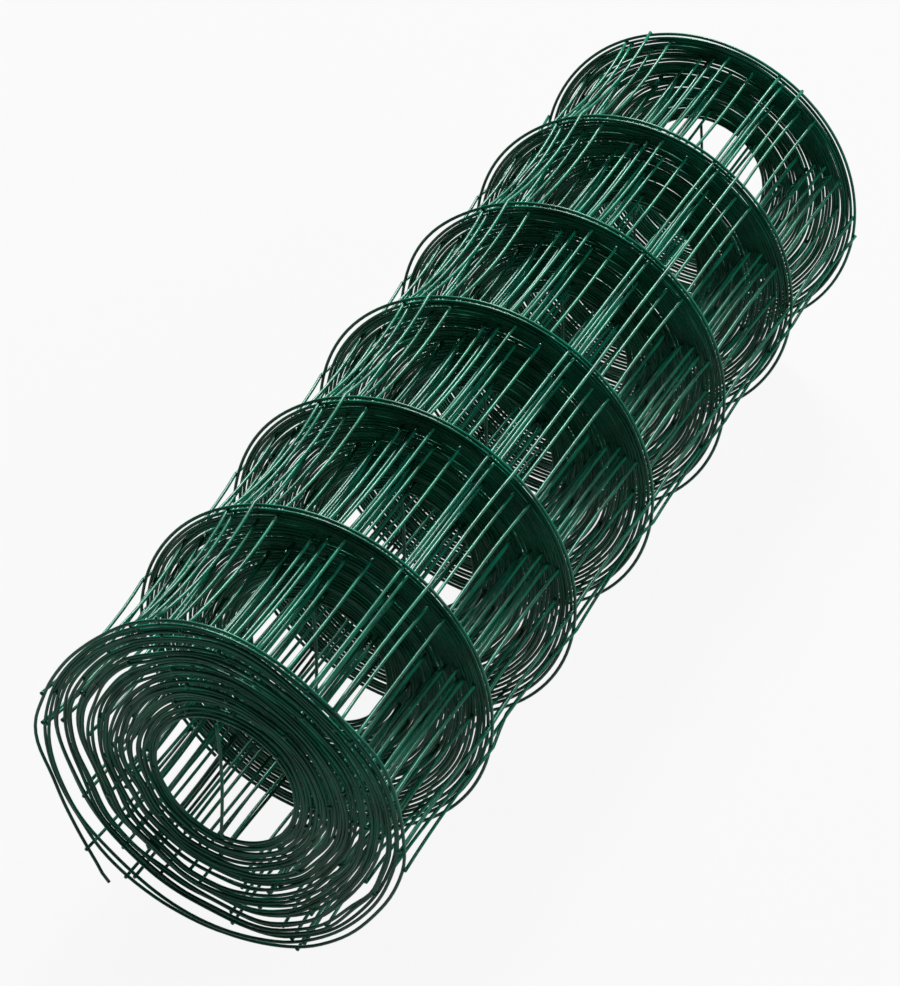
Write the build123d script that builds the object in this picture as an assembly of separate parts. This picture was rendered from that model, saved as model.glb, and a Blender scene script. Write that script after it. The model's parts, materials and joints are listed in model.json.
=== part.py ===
from build123d import *

import os
from math import degrees

# A roll of welded wire fencing, lying on its side, in millimetres.
# X is to the right seen from the near end, Y runs along the roll to the far end, Z is up.
# The origin lies on the floor under the middle of the roll.
# Angles are in degrees from straight up, clockwise as seen from the near end.

# The mesh sheet, which is wound up as one piece
mesh_pitch = 101.6          # between line wires and between cross wires
line_wires = 7              # they run round the roll
wire_diameter = 1.8         # steel core with its plastic coat
weld_sink = 0.3             # how far a cross wire is pressed into a line wire

# The roll
roll_radius = 100.0         # axis to the middle of the outermost line wires
bore_radius = 37.5
bore_offset = 7.3           # middle of the bore to the middle of the outer turn
bore_offset_angle = 26.0
loose_turns = 6             # outermost turns, wound with room between them
turn_clearance = 1.35       # least gap between those turns, on the side of the offset
open_turns = 3              # of those, the turns whose cross wires stand clear of the turns below
span_dip = 4.4              # how far a cross wire of the outermost turn draws in between line wires
dip_share = 0.3             # of a span, from a line wire to the drawn-in stretch
last_cross_angle = -142.0   # of the cross wire next to the outer edge of the sheet

overrun = 5.0               # how far a cutting shape runs past the face that it cuts
full_turn = 360.0
half_turn = full_turn / 2
quarter_turn = full_turn / 4

# Worked out from the sizes above
wire_radius = wire_diameter / 2
line_wire_places = [mesh_pitch * (i - (line_wires - 1) / 2) for i in range(line_wires)]
half_length = line_wire_places[-1] + wire_radius
crest_radius = roll_radius + wire_radius
loose_room = loose_turns * (wire_diameter + turn_clearance)
packed_turns = int((roll_radius - bore_offset - loose_room - bore_radius) / wire_diameter)
first_turn_radius = bore_radius + packed_turns * wire_diameter - wire_radius
tight_build = roll_radius - first_turn_radius - bore_offset
loose_build = roll_radius - first_turn_radius + bore_offset


def turn_top(turn):
    """Middle of the wire on the side of the offset, where the turns lie closest."""
    return bore_offset + first_turn_radius + tight_build * turn / loose_turns


def turn_bottom(turn):
    """Middle of the wire on the other side."""
    return bore_offset - first_turn_radius - loose_build * turn / loose_turns


def half_circle(start, end):
    """Half a turn between two points of the line through the bore and the roll's axis."""
    return ThreePointArc((0, start), ((end - start) / 2, (start + end) / 2), (0, end))


def turn_side(first, last, offset):
    """One side of the wound end wire, outwards from one loose turn to another."""
    arcs = []
    for turn in range(first, last + 1):
        top, bottom = turn_top(turn) + offset, turn_bottom(turn) - offset
        arcs += [half_circle(top, bottom), half_circle(bottom, turn_top(turn + 1) + offset)]
    return arcs[:-1]


def turn_gap():
    """Spiral gap between the loose turns of a line wire."""
    inner_side = turn_side(0, loose_turns - 1, wire_radius)
    outer_side = turn_side(1, loose_turns, -wire_radius)
    closing_ends = [
        Line(inner_side[0] @ 0, outer_side[0] @ 0),
        Line(inner_side[-1] @ 1, outer_side[-1] @ 1),
    ]
    return make_face(inner_side + outer_side + closing_ends)


def last_gap():
    """The end of that gap, where the last turn runs out into the outermost one."""
    top, bottom = turn_top(loose_turns), turn_bottom(loose_turns - 1)
    last_turn = Pos(0, (top + bottom) / 2) * Circle((top - bottom) / 2 + wire_radius)
    right_side = Pos(roll_radius / 2, 0) * Rectangle(roll_radius, roll_radius * 2)
    return (Circle(roll_radius - wire_radius) - last_turn) & right_side


def across_roll(shape):
    """Stands a shape drawn about the roll's axis, offset upwards, across the roll."""
    return Plane.XZ * Rot(0, 0, -bore_offset_angle) * shape


def line_wire_rings():
    """The line wires as turned rings, with the gap between turns in the two at the ends."""
    ring = Cylinder(crest_radius, wire_diameter)
    cut_depth = wire_radius + overrun
    gaps = [extrude(face, amount=cut_depth, both=True) for face in (turn_gap(), last_gap())]
    end_ring = ring - gaps
    shapes = [end_ring] + [ring] * (line_wires - 2) + [end_ring]
    return [Pos(0, place, 0) * across_roll(shape) for place, shape in zip(line_wire_places, shapes)]


def core():
    """The dense turns below the open ones, as one turned solid."""
    turn = loose_turns - open_turns
    top, bottom = turn_top(turn), turn_bottom(turn)
    body = Cylinder((top - bottom) / 2 + wire_radius, (half_length - wire_diameter) * 2)
    return across_roll(Pos(0, (top + bottom) / 2, 0) * body)


def cross_wire(seat, dip):
    """One cross wire that lies on its line wires at the seat and is drawn in between them."""
    inner = [(seat, -half_length)]
    for near, far in zip(line_wire_places, line_wire_places[1:]):
        slope = (far - near) * dip_share
        inner += [(seat, near), (seat - dip, near + slope), (seat - dip, far - slope)]
    inner += [(seat, line_wire_places[-1]), (seat, half_length)]
    outer = [(radius + wire_diameter, place) for radius, place in reversed(inner)]
    return extrude(make_face(Polyline(*inner, *outer, close=True)), amount=wire_radius, both=True)


def cross_wires():
    """The cross wires of the open turns, one mesh apart along the sheet, from its outer edge inwards."""
    wires = []
    angle = last_cross_angle - bore_offset_angle
    while angle < full_turn * open_turns - half_turn:
        halves = int((angle + half_turn) // half_turn)
        layer = halves // 2
        top = turn_top(loose_turns - layer)
        bottom = turn_bottom(loose_turns - (halves + 1) // 2) if layer else -top
        radius, middle = (top - bottom) / 2, (top + bottom) / 2
        wire = cross_wire(radius + wire_radius - weld_sink, span_dip * (1 - layer / open_turns))
        turned = Pos(0, 0, middle) * Rot(0, angle - quarter_turn, 0) * wire
        wires.append(Rot(0, bore_offset_angle, 0) * turned)
        angle += degrees(mesh_pitch / radius)
    return wires


def bore():
    """The open middle of the roll, set off from the outer turn's axis."""
    return across_roll(Pos(0, bore_offset, 0) * Cylinder(bore_radius, (half_length + overrun) * 2))


mesh_roll = core()
mesh_roll += line_wire_rings() + cross_wires()
mesh_roll -= bore()
axis_height = -mesh_roll.bounding_box().min.Z
mesh_roll = Pos(0, 0, axis_height) * mesh_roll

os.makedirs("parts", exist_ok=True)
export_step(mesh_roll, "parts/mesh_roll.step")
print("turns", packed_turns + loose_turns, "volume", round(mesh_roll.volume), "axis height", axis_height)
print("box", mesh_roll.bounding_box(), "solids", len(mesh_roll.solids()))
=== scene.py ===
import json
import math

import bpy
import numpy as np
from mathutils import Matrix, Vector


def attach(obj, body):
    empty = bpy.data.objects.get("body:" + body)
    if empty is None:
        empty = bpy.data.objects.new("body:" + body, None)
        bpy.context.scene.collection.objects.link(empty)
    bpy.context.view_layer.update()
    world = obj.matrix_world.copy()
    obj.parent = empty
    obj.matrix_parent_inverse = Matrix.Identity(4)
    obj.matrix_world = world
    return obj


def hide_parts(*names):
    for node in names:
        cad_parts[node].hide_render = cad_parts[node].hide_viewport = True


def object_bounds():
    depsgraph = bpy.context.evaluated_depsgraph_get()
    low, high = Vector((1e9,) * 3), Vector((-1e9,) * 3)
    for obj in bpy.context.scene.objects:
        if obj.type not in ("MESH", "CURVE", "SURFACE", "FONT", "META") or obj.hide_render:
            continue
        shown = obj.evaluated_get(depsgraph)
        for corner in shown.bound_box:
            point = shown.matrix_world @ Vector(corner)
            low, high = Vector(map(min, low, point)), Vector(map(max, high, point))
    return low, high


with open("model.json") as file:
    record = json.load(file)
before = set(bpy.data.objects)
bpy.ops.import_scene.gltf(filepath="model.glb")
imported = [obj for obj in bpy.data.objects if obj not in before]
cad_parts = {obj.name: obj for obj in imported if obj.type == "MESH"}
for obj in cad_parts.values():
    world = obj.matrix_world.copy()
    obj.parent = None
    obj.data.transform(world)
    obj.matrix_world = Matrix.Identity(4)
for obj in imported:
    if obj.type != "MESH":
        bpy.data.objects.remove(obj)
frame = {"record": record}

cadLow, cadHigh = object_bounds()
mm = 0.001                         # sizes below are in millimetres, Blender works in metres
rng = np.random.default_rng(41)    # the same wander at every run
wire = 1.8                         # wire over its plastic coat
axisHeight = cadHigh.z / mm / 2    # of the outer turn
boreMount = next(mount for mount in frame["record"]["mounts"] if mount["name"] == "bore")

# Angles are in degrees from straight up, clockwise as seen from the near end.
# The sheet winds outwards against the clock.
# A place is the number of a point along the winding, counted from the bore.

sheet = {
    "lineWires": 7,
    "meshLength": 101.6,           # between cross wires
    "innerAngle": 178,             # where the sheet starts to follow the bore
    "outerAngle": -143,            # where its loose outer edge ends
    "lastCrossAngle": -132,
    "lastCrossRoom": 30,           # no other cross wire lies nearer to the last one than this angle
    "wholeTurns": 31,
    "perTurn": 120,                # points a turn
    "leastGap": 1.45,              # between turns, middle to middle
    "innerLooseness": 0.12,        # share of the looseness below that goes on past the near line wire
    "rimRise": 1.2,                # how much closer the last two turns lie where the sheet isn't loose
    "bunchPitch": 1.5,             # between turns of one bunch
    # gaps between bunches: turn, share of all the room
    "bunches": [(3.2, 0.05), (7.9, 0.07), (13.3, 0.06), (17.6, 0.08), (22.9, 0.07), (26.5, 0.05)],
    "crossLift": 0.6,              # how far a turn rides up over a cross wire below it
    "crossLiftReach": 18,          # degrees to each side
    "lookBack": 16,                # latest cross wires, among which are those of the turn below
    "blur": (1, 2, 3, 2, 1),       # how a stretch of wire evens out, because it can't turn sharply
    "windings": 8,                 # how often the sheet is wound to fit the two outlines below
    "smoothings": 4,               # of the room between turns, after each winding
    "readCentre": (0.8, 1.4),      # the two outlines were read about this point, right and up of the axis
    # outermost turn and the one below it: angle, radius
    "lastTurn": [
        (-143, 111), (-132, 104.8), (-120, 101.8), (-105, 100.2), (-94, 104.9), (-86, 104.9), (-77, 101),
        (-60, 98.4), (-50, 97.9), (-40, 98.6), (-25, 101), (3, 103.8), (25, 100.3), (34, 98.9), (45, 99.4),
        (60, 102.5), (85, 101.2), (96, 101.9), (105, 100.2), (122, 98.3), (140, 98.7), (156, 99.8),
        (165, 99.4), (180, 98.6), (193, 98.6), (207, 99.6), (217, 100.2),
    ],
    "secondTurn": [
        (-143, 100.2), (-120, 98.8), (-110, 98.4), (-94, 99.3), (-75, 98), (-50, 95.4), (-40, 96.2),
        (0, 101.2), (10, 100.8), (30, 96.7), (45, 97), (60, 99.8), (80, 99), (95, 97.6), (105, 95.4),
        (120, 94.4), (140, 94.6), (165, 95.5), (180, 94.9), (207, 93.9), (217, 93.4),
    ],
    # loose places: turn that stands off the one below it, angle, half width, extra room
    "loosePlaces": [
        (29, -138, 62, 8.5), (30, -143, 20, 4.6), (27, -97, 24, 2.6), (30, -112, 14, 1.2),
        (24, -120, 34, 3.4), (24, -84, 18, 2.0), (21, -78, 20, 2.4), (20, -45, 20, 2.2),
        (15, -54, 24, 1.8), (27, 104, 20, 2.8), (29, 142, 30, 2.0), (27, 130, 26, 2.0),
        (25, 152, 24, 1.8), (22, 160, 24, 3.2), (17, -170, 20, 2.2), (9, -47, 20, 1.8), (7, -86, 20, 1.6),
        (11, -97, 20, 1.8), (11, 147, 22, 1.6), (10, 98, 16, 1.4), (19, 143, 16, 1.2), (11, -130, 14, 1.4),
        (17, -129, 14, 1.4), (20, -116, 14, 1.4), (25, -158, 14, 1.6), (22, 128, 16, 1.2),
        (19, 104, 16, 1.4), (24, -50, 13, 1.6), (26, -64, 12, 1.5), (23, -26, 12, 1.4),
    ],
}

perTurn = sheet["perTurn"]
outerPart = round((sheet["innerAngle"] - sheet["outerAngle"]) / 360 * perTurn)
count = outerPart + perTurn * sheet["wholeTurns"] + 1
turns = np.arange(count) / perTurn
angles = sheet["innerAngle"] - 360 * turns
lastAngles = angles + 360 * sheet["wholeTurns"]                # as the last turn's outline counts them
secondAngles = (angles - sheet["outerAngle"]) % 360 + sheet["outerAngle"]
lastCross = (sheet["innerAngle"] - sheet["lastCrossAngle"]) / 360 * perTurn
lastCross += sheet["wholeTurns"] * perTurn                     # place of the last cross wire
blur = np.array(sheet["blur"]) / sum(sheet["blur"])
blurReach = len(blur) // 2


def fade(reach):
    # 1 in the middle, eased down to nothing at a reach of 1
    return 0.5 + 0.5 * np.cos(np.pi * np.clip(reach, 0, 1))


def eased(outline, angle):
    # radius at an angle, eased from point to point
    outlineAngles, radii = outline[:, 0], outline[:, 1]
    at = np.clip(np.searchsorted(outlineAngles, angle) - 1, 0, len(outlineAngles) - 2)
    share = np.clip((angle - outlineAngles[at]) / (outlineAngles[at + 1] - outlineAngles[at]), 0, 1)
    return radii[at] + (radii[at + 1] - radii[at]) * share * share * (3 - 2 * share)


def aboutAxis(outline, looseness):
    # the same outline, seen from the roll's axis and drawn towards a plain circle
    right, up = sheet["readCentre"]
    points = []
    for angle, radius in outline:
        x = radius * math.sin(math.radians(angle)) - right
        z = radius * math.cos(math.radians(angle)) - up
        turned = math.degrees(math.atan2(x, z))
        points.append((turned + 360 * round((angle - turned) / 360), math.hypot(x, z)))
    points = np.array(points)
    points[:, 1] += (np.median(points[:, 1]) - points[:, 1]) * (1 - looseness)
    return points


def boreRadii():
    # from the roll's axis to a wire that lies round the bore, which is off the axis
    boreX = boreMount["pos_m"][0] / mm
    boreZ = boreMount["pos_m"][2] / mm - axisHeight
    offset = math.hypot(boreX, boreZ)
    lean = np.radians(angles) - math.atan2(boreX, boreZ)
    firstRadius = boreMount["dims"]["r_mm"] + wire / 2
    return offset * np.cos(lean) + np.sqrt(firstRadius ** 2 - (offset * np.sin(lean)) ** 2)


def bunchSpread(looseness):
    # share of the room that lies below each point, with a step after each bunch of turns
    evenly = turns / turns[-1]
    spread = evenly.copy()
    for at, share in sheet["bunches"]:
        rise = np.clip(turns - at, 0, 1)
        spread += share * looseness * (rise * rise * (3 - 2 * rise) - evenly)
    return spread


def looseRoom(looseness):
    # extra room along the winding, flat in the middle of each loose place
    room = np.zeros(count)
    for turn, angle, halfWidth, extra in sheet["loosePlaces"]:
        middle = (turn + (sheet["innerAngle"] - angle) % 360 / 360) * perTurn
        reach = np.abs(np.arange(count) - middle) * 360 / perTurn / halfWidth
        room += extra * looseness * fade(2 * reach - 1)
    return room


def layTurns(bed, build, firstCross):
    # lays one line wire turn on turn, each over the cross wires of the turn below
    stepAngle = math.radians(360 / perTurn)
    lift, radius, crossings = np.zeros(count), np.zeros(count), []
    length, due = 0, firstCross
    for i in range(count):
        under = i - perTurn
        if under >= blurReach:
            lift[i] = lift[under - blurReach:under + blurReach + 1] @ blur + bed["room"][i]
            below = crossings[-sheet["lookBack"]:]
            reaches = [abs(place - under) * 360 / perTurn / sheet["crossLiftReach"] for place in below]
            lift[i] += sheet["crossLift"] * max(0, 1 - min(reaches, default=1)) ** 2
        radius[i] = bed["packed"][i] + build[i] * bed["spread"][i] + lift[i]
        if i >= count - perTurn:
            radius[i] = eased(bed["last"], lastAngles[i])
        if under >= 0:
            radius[i] = max(radius[i], radius[under] + sheet["leastGap"])
        step = math.hypot(stepAngle * radius[i], radius[i] - radius[max(i - 1, 0)])
        length += step
        if i == round(lastCross):
            lastLength = length
        if length >= due:
            crossings.append(i - (length - due) / step)
            due += sheet["meshLength"]
    return radius, lift, crossings, lastLength


def fitBuild(bed, lift):
    # room between turns that brings the turn below the outermost one to its outline
    wanted = np.zeros(perTurn)
    for i in range(count - 2 * perTurn, count - perTurn):
        outline = eased(bed["second"], secondAngles[i])
        wanted[i % perTurn] = (outline - bed["packed"][i] - lift[i]) / bed["spread"][i]
    wanted = np.maximum(wanted, 0)
    for smoothing in range(sheet["smoothings"]):
        wanted = (np.roll(wanted, 1) + 2 * wanted + np.roll(wanted, -1)) / 4
    return wanted[np.arange(count) % perTurn]


def windSheet(looseness):
    # radius of one line wire along the winding, and the places of the cross wires on it
    bed = {
        "last": aboutAxis(sheet["lastTurn"], looseness),
        "second": aboutAxis(sheet["secondTurn"], looseness),
        "packed": boreRadii() + sheet["bunchPitch"] * turns,
        "spread": bunchSpread(looseness),
        "room": looseRoom(looseness),
    }
    bed["second"][:, 1] += sheet["rimRise"] * (1 - looseness)
    build = np.zeros(count)
    firstCross = 0                 # from the bend at the bore to the first cross wire
    for winding in range(sheet["windings"]):
        radius, lift, crossings, lastLength = layTurns(bed, build, firstCross)
        build = fitBuild(bed, lift)
        firstCross = lastLength % sheet["meshLength"]
    clear = lastCross - sheet["lastCrossRoom"] / 360 * perTurn
    crossings = [place for place in crossings if place < clear] + [lastCross]
    radius[blurReach:-blurReach] = np.convolve(radius, blur, "valid")
    return radius, crossings


nearRadii, crossings = windSheet(1)
innerRadii = windSheet(sheet["innerLooseness"])[0]
print("wound", round(count / perTurn, 1), "turns with", len(crossings), "cross wires")


def tube(path, across, radius, sides):
    # round wire along a path, closed at both ends
    path = np.asarray(path, float)
    along = np.gradient(path, axis=0)
    along /= np.linalg.norm(along, axis=1, keepdims=True)
    across = across - along * np.sum(across * along, axis=1, keepdims=True)
    across /= np.linalg.norm(across, axis=1, keepdims=True)
    third = np.cross(along, across)
    turn = np.arange(sides) * 2 * np.pi / sides
    offsets = across[:, None] * np.cos(turn)[:, None] + third[:, None] * np.sin(turn)[:, None]
    points = (path[:, None] + radius * offsets).reshape(-1, 3)
    row = np.arange(len(path) - 1)[:, None] * sides
    side = np.arange(sides)[None]
    nextSide = (side + 1) % sides
    quads = np.stack([row + side, row + nextSide, row + sides + nextSide, row + sides + side], axis=-1)
    faces = quads.reshape(-1, 4).tolist()
    faces.append(list(range(sides))[::-1])
    faces.append(list(range(len(points) - sides, len(points))))
    return points, faces


def makePiece(name, shells, material):
    # joins shells into one mesh that stands for the CAD roll
    points, faces, start = [], [], 0
    for shellPoints, shellFaces in shells:
        points.append(shellPoints * mm)
        faces += [[corner + start for corner in face] for face in shellFaces]
        start += len(shellPoints)
    mesh = bpy.data.meshes.new(name)
    mesh.from_pydata(np.concatenate(points).tolist(), [], faces)
    mesh.shade_smooth()
    mesh.materials.append(material)
    piece = bpy.data.objects.new(name, mesh)
    bpy.context.scene.collection.objects.link(piece)
    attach(piece, "root")
    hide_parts("mesh_roll")


coat = {
    "green": (0.005, 0.17, 0.1),
    "deepGreen": (0.003, 0.1, 0.06),
    "scuff": (0.05, 0.18, 0.13),
    # noise: patches a metre, detail
    "patches": (55, 3),
    "grain": (900, 2),
    "scuffs": (160, 5),
    "patchEdge": (0.35, 0.6),      # noise at which deep green ends and at which plain green starts
    "scuffEdge": (0.66, 0.78),     # the same for plain coat and scuffs
    "scuffStrength": 0.5,
    "roughness": (0.24, 0.4),
    "specular": 0.2,
    "grainStrength": 0.5,
    "grainHeight": 0.00006,        # metres
}


def coatMaterial():
    # satin plastic coat, uneven from dipping and a little scuffed
    material = bpy.data.materials.new("green_coated_wire_look")
    material.use_nodes = True
    nodes, links = material.node_tree.nodes, material.node_tree.links
    shader = nodes["Principled BSDF"]
    shader.inputs["Specular IOR Level"].default_value = coat["specular"]
    place = nodes.new("ShaderNodeTexCoord")

    def noise(scale, detail):
        node = nodes.new("ShaderNodeTexNoise")
        node.inputs["Scale"].default_value = scale
        node.inputs["Detail"].default_value = detail
        links.new(place.outputs["Object"], node.inputs["Vector"])
        return node.outputs["Fac"]

    def ramp(source, edge, below, above):
        node = nodes.new("ShaderNodeValToRGB")
        for stop, position, color in zip(node.color_ramp.elements, edge, (below, above)):
            stop.position = position
            stop.color = (*color, 1)
        links.new(source, node.inputs["Fac"])
        return node.outputs["Color"]

    patches = noise(*coat["patches"])
    grain = noise(*coat["grain"])
    scuffs = noise(*coat["scuffs"])
    base = ramp(patches, coat["patchEdge"], coat["deepGreen"], coat["green"])
    rubbed = ramp(scuffs, coat["scuffEdge"], (0, 0, 0), [coat["scuffStrength"]] * 3)
    mix = nodes.new("ShaderNodeMix")
    mix.data_type = "RGBA"
    links.new(rubbed, mix.inputs["Factor"])
    links.new(base, mix.inputs["A"])
    mix.inputs["B"].default_value = (*coat["scuff"], 1)
    links.new(mix.outputs["Result"], shader.inputs["Base Color"])
    rough = nodes.new("ShaderNodeMapRange")
    rough.inputs["To Min"].default_value = coat["roughness"][0]
    rough.inputs["To Max"].default_value = coat["roughness"][1]
    links.new(scuffs, rough.inputs["Value"])
    links.new(rough.outputs["Result"], shader.inputs["Roughness"])
    bump = nodes.new("ShaderNodeBump")
    bump.inputs["Strength"].default_value = coat["grainStrength"]
    bump.inputs["Distance"].default_value = coat["grainHeight"]
    links.new(grain, bump.inputs["Height"])
    links.new(bump.outputs["Normal"], shader.inputs["Normal"])
    return material


greenCoat = coatMaterial()

lineWire = {
    "sides": 8,
    "twist": -0.5,                 # degrees from each line wire to the next one
    "sideways": 2.9,               # axial wander of the turns, the same for all line wires
    "sidewaysWaves": (0.09, 0.17, 0.24, 1.07, 1.13, 1.9),      # waves a turn
    "neatTurns": 10,               # turns at the bore that wander less
    "neatShare": 0.4,              # share of the wander at the bore
    "recess": 2.5,                 # how far some turns of the near line wire lie back from its end
    "recessSwing": 1.5,            # wander of the recess, of which only 0 to 1 counts
    "recessWaves": (0.41, 0.57, 1.36),
    "inAndOut": 0.9,               # radial wander of the near line wire
    "innerInAndOut": 0.25,         # and of the others
    "inAndOutWaves": (2.3, 5.3, 8.7),
    "waveStrength": (0.5, 1),      # weakest and strongest wave of a wander
    # inner edge of the sheet, which crosses the bore: right and up of the axis
    "innerEdge": [(-0.3, 41.6), (0.8, 26), (1.3, 8), (0.8, -10), (-0.1, -24), (-0.4, -29.4)],
    "edgeSteps": 5,                # points from one of these to the next
    # slack in the outermost turn: size for each line wire, then angle and half width
    "leftSlack": [0, 0, 0.3, 1.0, 1.8, 0.6, 0],
    "leftSlackAt": (-56, 30),
    "rightSlack": [0, 0.6, 1.2, 1.6, 1.6, 1.2, 0.8],
    "rightSlackAt": (128, 40),
    "slackStart": 0.125,           # of a turn, over which the slack sets in
}


def hump(angle, middle, halfWidth):
    # 1 at the middle angle, nothing past the half width
    return fade(np.abs(angle - middle) / halfWidth)


def wander(size, waves):
    # smooth random drift along the winding
    drift = np.zeros(count)
    for beat in waves:
        drift += np.sin(2 * np.pi * (beat * turns + rng.random())) * rng.uniform(*lineWire["waveStrength"])
    return drift * size / len(waves)


linePlaces = np.linspace(cadLow.y / mm + wire / 2, cadHigh.y / mm - wire / 2, sheet["lineWires"])
sideways = wander(lineWire["sideways"], lineWire["sidewaysWaves"])
fromBore = np.clip(turns / lineWire["neatTurns"], 0, 1)
sideways *= lineWire["neatShare"] + (1 - lineWire["neatShare"]) * fromBore
setBack = np.clip(wander(lineWire["recessSwing"], lineWire["recessWaves"]), 0, 1)


def linePath(index):
    # one line wire's turns: right, along and up, in millimetres
    angle = angles + lineWire["twist"] * index
    radii = innerRadii if index else nearRadii
    outer = np.clip((turns - turns[-1] + 1) / lineWire["slackStart"], 0, 1)      # 1 on the outermost turn
    slack = lineWire["leftSlack"][index] * hump(lastAngles, *lineWire["leftSlackAt"])
    slack = slack + lineWire["rightSlack"][index] * hump(lastAngles, *lineWire["rightSlackAt"])
    inOut = wander(lineWire["innerInAndOut" if index else "inAndOut"], lineWire["inAndOutWaves"])
    radius = radii + inOut * np.clip(turns, 0, 1) + slack * outer
    height = np.maximum(axisHeight + radius * np.cos(np.radians(angle)), wire / 2)
    along = linePlaces[index] + sideways + setBack * (0 if index else lineWire["recess"])
    return np.stack([radius * np.sin(np.radians(angle)), along, height], axis=1)


def edgePath(path, index):
    # the straight inner edge, bent round into the first turn, as a smooth curve through its points
    corners = [Vector((x, linePlaces[index], axisHeight + z)) for x, z in lineWire["innerEdge"]]
    corners.append(Vector(path[0]))
    ahead = [corners[0] * 2 - corners[1]] + corners + [Vector(path[3])]
    points = []
    for a, b, c, d in zip(ahead, ahead[1:], ahead[2:], ahead[3:]):
        for step in range(lineWire["edgeSteps"]):
            t = step / lineWire["edgeSteps"]
            points.append(0.5 * (2 * b + (c - a) * t + (2 * a - 5 * b + 4 * c - d) * t * t
                                 + (3 * b - a - 3 * c + d) * t ** 3))
    return np.array(points)


linePaths = [linePath(index) for index in range(sheet["lineWires"])]
for index, path in enumerate(linePaths):
    whole = np.concatenate([edgePath(path, index), path])
    across = np.tile([0.0, 1.0, 0.0], (len(whole), 1))
    makePiece(f"line_wire_{index + 1}", [tube(whole, across, wire / 2, lineWire["sides"])], greenCoat)
print("line wires", len(linePaths))

crossWire = {
    "sides": 8,
    "spanPoints": 8,               # points between two line wires
    "weldDepth": 0.25,             # how far the two wires are pressed into each other
    "overhang": 0.7,               # past the end wires
    "outerDip": 4.4,               # how far a wire draws in between two line wires, outermost turn
    "innerDip": 1.2,
    "dipRange": (0.8, 1.15),       # from wire to wire
    # where the wires run straighter: angle, half width, share of the dip taken off
    "straightSide": (85, 95, 0.7),
    "sway": 0.4,                   # sideways bow of a span
    # places where the side is pushed in: angle, half width, span, share of the span, depth
    "dents": [(108, 22, 1, 0.24, 9), (106, 20, 2, 0.8, 4)],
    "dentTurns": 2,                # how many of the outer turns a dent takes along
}


def pathAt(path, place):
    # where a line wire is at a place between two of its points
    low = int(place)
    return path[low] + (path[min(low + 1, len(path) - 1)] - path[low]) * (place - low)


def crossPath(place):
    # one cross wire, from the near end to the far end
    turn = place / perTurn
    angle = (sheet["innerAngle"] - 360 * turn + 180) % 360 - 180
    depth = count / perTurn - turn                         # turns from the outside
    outerShare = np.clip(turn / sheet["wholeTurns"], 0, 1) ** 2
    dip = crossWire["innerDip"] + (crossWire["outerDip"] - crossWire["innerDip"]) * outerShare
    straightAt, straightWidth, straightShare = crossWire["straightSide"]
    dip *= rng.uniform(*crossWire["dipRange"]) * (1 - straightShare * hump(angle, straightAt, straightWidth))
    knots, outs = [], []
    for path in linePaths:
        spot = pathAt(path, place)
        out = np.array([spot[0], 0, spot[2] - axisHeight])
        out /= np.linalg.norm(out)
        knot = spot + out * (wire - crossWire["weldDepth"])
        knot[2] = max(knot[2], wire / 2)                   # nothing goes through the floor
        knots.append(knot)
        outs.append(out)
    points, sides = [], []
    for span in range(len(knots) - 1):
        sway = rng.normal(0, crossWire["sway"])
        for step in range(crossWire["spanPoints"]):
            share = step / crossWire["spanPoints"]
            out = outs[span] + (outs[span + 1] - outs[span]) * share
            tangent = np.array([out[2], 0, -out[0]])
            inward = dip * 4 * share * (1 - share)         # the whole dip half way along the span
            for at, halfWidth, dentSpan, dentShare, dentDepth in crossWire["dents"]:
                if span == dentSpan and depth < crossWire["dentTurns"]:
                    fall = share / dentShare if share < dentShare else (1 - share) / (1 - dentShare)
                    inward += (dentDepth * fall * hump(angle, at, halfWidth)
                               * (1 - depth / crossWire["dentTurns"]))
            point = knots[span] + (knots[span + 1] - knots[span]) * share
            points.append(point - out * inward + tangent * sway * math.sin(math.pi * share))
            sides.append(out)
    points.append(knots[-1])
    sides.append(outs[-1])
    points = np.array(points)
    points[:, 2] = np.maximum(points[:, 2], wire / 2)
    points[0, 1] -= crossWire["overhang"]
    points[-1, 1] += crossWire["overhang"]
    return points, np.array(sides), knots, outs


weldCoat = {
    "around": 8,
    "along": 5,
    "size": (1.3, 1.3, 1.55),      # half sizes: along the line wire, along the cross wire, outwards
}


def weldBlob(knot, out):
    # the coat runs together where two wires are welded
    onLine, onCross, outwards = weldCoat["size"]
    around, along = weldCoat["around"], weldCoat["along"]
    tangent = np.array([out[2], 0, -out[0]])
    middle = knot - out * (wire - crossWire["weldDepth"]) / 2
    points = [middle + out * outwards]
    for fall in (np.arange(along) + 1) * np.pi / (along + 1):
        for turn in np.arange(around) * 2 * np.pi / around:
            points.append(
                middle
                + tangent * onLine * math.sin(fall) * math.cos(turn)
                + np.array([0, 1, 0]) * onCross * math.sin(fall) * math.sin(turn)
                + out * outwards * math.cos(fall)
            )
    points.append(middle - out * outwards)
    last = len(points) - 1
    faces = []
    for side in range(around):
        nextSide = (side + 1) % around
        faces.append([0, 1 + side, 1 + nextSide])
        for row in range(along - 1):
            base = 1 + row * around
            faces.append([base + side, base + around + side, base + around + nextSide, base + nextSide])
        base = 1 + (along - 1) * around
        faces.append([last, base + nextSide, base + side])
    return np.array(points), faces


crossShells, weldShells = [], []
for place in crossings:
    points, sides, knots, outs = crossPath(place)
    crossShells.append(tube(points, sides, wire / 2, crossWire["sides"]))
    weldShells += [weldBlob(knot, out) for knot, out in zip(knots, outs)]
makePiece("cross_wires", crossShells, greenCoat)
makePiece("weld_coats", weldShells, greenCoat)
print("cross wires", len(crossShells), "and welds", len(weldShells))

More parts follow.
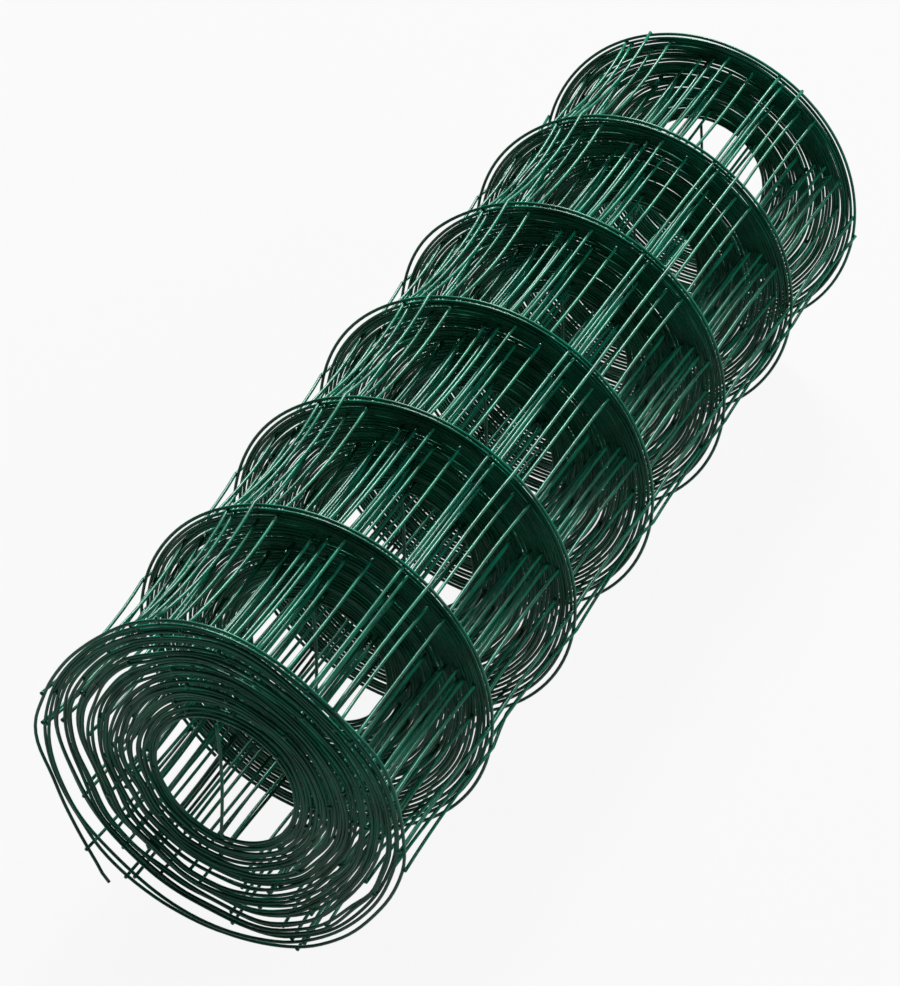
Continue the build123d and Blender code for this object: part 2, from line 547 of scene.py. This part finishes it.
# sizes and places in metres, power in watts
studio = {
    "floorSize": 60,
    "floorColor": (0.25, 0.25, 0.25),
    "floorWhite": 0.92,            # share of the floor that shows as plain white, the rest takes the shadow
    "skyLight": 0.008,
    # lamps: name, place, width and height, power
    "lamps": [
        ("key_lamp", (-1.5, 4.4, 4.2), (2.2, 1.2), 800),
        ("side_lamp", (1.8, 0.3, 1.4), (0.4, 0.6), 22),
        ("fill_lamp", (-0.5, -1.4, 1.1), (0.5, 0.3), 0.6),
    ],
}


def seenDirectly(tree):
    # 1 for what the camera sees, also in a reflection or through glass
    path = tree.nodes.new("ShaderNodeLightPath")
    seen = path.outputs["Is Camera Ray"]
    for name in ("Is Glossy Ray", "Is Transmission Ray"):
        most = tree.nodes.new("ShaderNodeMath")
        most.operation = "MAXIMUM"
        tree.links.new(seen, most.inputs[0])
        tree.links.new(path.outputs[name], most.inputs[1])
        seen = most.outputs[0]
    return seen


def floorMaterial():
    # pale paint, seen as plain white apart from a faint shadow
    material = bpy.data.materials.new("pale_floor")
    material.use_nodes = True
    tree = material.node_tree
    tree.nodes.clear()
    paint = tree.nodes.new("ShaderNodeBsdfDiffuse")
    paint.inputs["Color"].default_value = (*studio["floorColor"], 1)
    glow = tree.nodes.new("ShaderNodeEmission")
    share = tree.nodes.new("ShaderNodeMath")
    share.operation = "MULTIPLY"
    share.inputs[1].default_value = studio["floorWhite"]
    tree.links.new(seenDirectly(tree), share.inputs[0])
    blend = tree.nodes.new("ShaderNodeMixShader")
    tree.links.new(share.outputs[0], blend.inputs["Fac"])
    tree.links.new(paint.outputs[0], blend.inputs[1])
    tree.links.new(glow.outputs[0], blend.inputs[2])
    output = tree.nodes.new("ShaderNodeOutputMaterial")
    tree.links.new(blend.outputs[0], output.inputs["Surface"])
    return material


def makeFloor():
    half = studio["floorSize"] / 2
    corners = [(-half, -half, 0), (half, -half, 0), (half, half, 0), (-half, half, 0)]
    mesh = bpy.data.meshes.new("studio_floor")
    mesh.from_pydata(corners, [], [(0, 1, 2, 3)])
    mesh.materials.append(floorMaterial())
    floor = bpy.data.objects.new("studio_floor", mesh)
    bpy.context.scene.collection.objects.link(floor)


def makeSky():
    world = bpy.data.worlds.new("studio_sky")
    world.use_nodes = True
    light = world.node_tree.nodes["Background"]
    light.inputs["Color"].default_value = (1, 1, 1, 1)
    light.inputs["Strength"].default_value = studio["skyLight"]
    bpy.context.scene.world = world


def pointAt(thing, spot):
    # turns a lamp or a camera towards a spot
    look = Vector(spot) - thing.location
    thing.rotation_euler = look.to_track_quat("-Z", "Y").to_euler()


def makeLamp(name, place, size, power):
    lamp = bpy.data.lights.new(name, "AREA")
    lamp.shape = "RECTANGLE"
    lamp.size, lamp.size_y = size
    lamp.energy = power
    holder = bpy.data.objects.new(name, lamp)
    holder.location = place
    pointAt(holder, (0, 0, axisHeight * mm))
    bpy.context.scene.collection.objects.link(holder)


makeFloor()
makeSky()
for name, place, size, power in studio["lamps"]:
    makeLamp(name, place, size, power)

# the photo's angle: places in metres, lens and sensor in millimetres
camera = {
    "place": (0.71808, -1.5382, 1.3713),
    "aim": (-0.00166, -0.03979, 0.10105),
    "lens": 141,
    "sensor": 36,
}

eye = bpy.data.cameras.new("photo_camera")
eye.lens = camera["lens"]
eye.sensor_width = camera["sensor"]
eyeHolder = bpy.data.objects.new("photo_camera", eye)
eyeHolder.location = camera["place"]
pointAt(eyeHolder, camera["aim"])
bpy.context.scene.collection.objects.link(eyeHolder)
bpy.context.scene.camera = eyeHolder
bpy.context.scene.view_settings.view_transform = "Standard"
print("floor, lamps and camera set up")

bpy.context.view_layer.update()
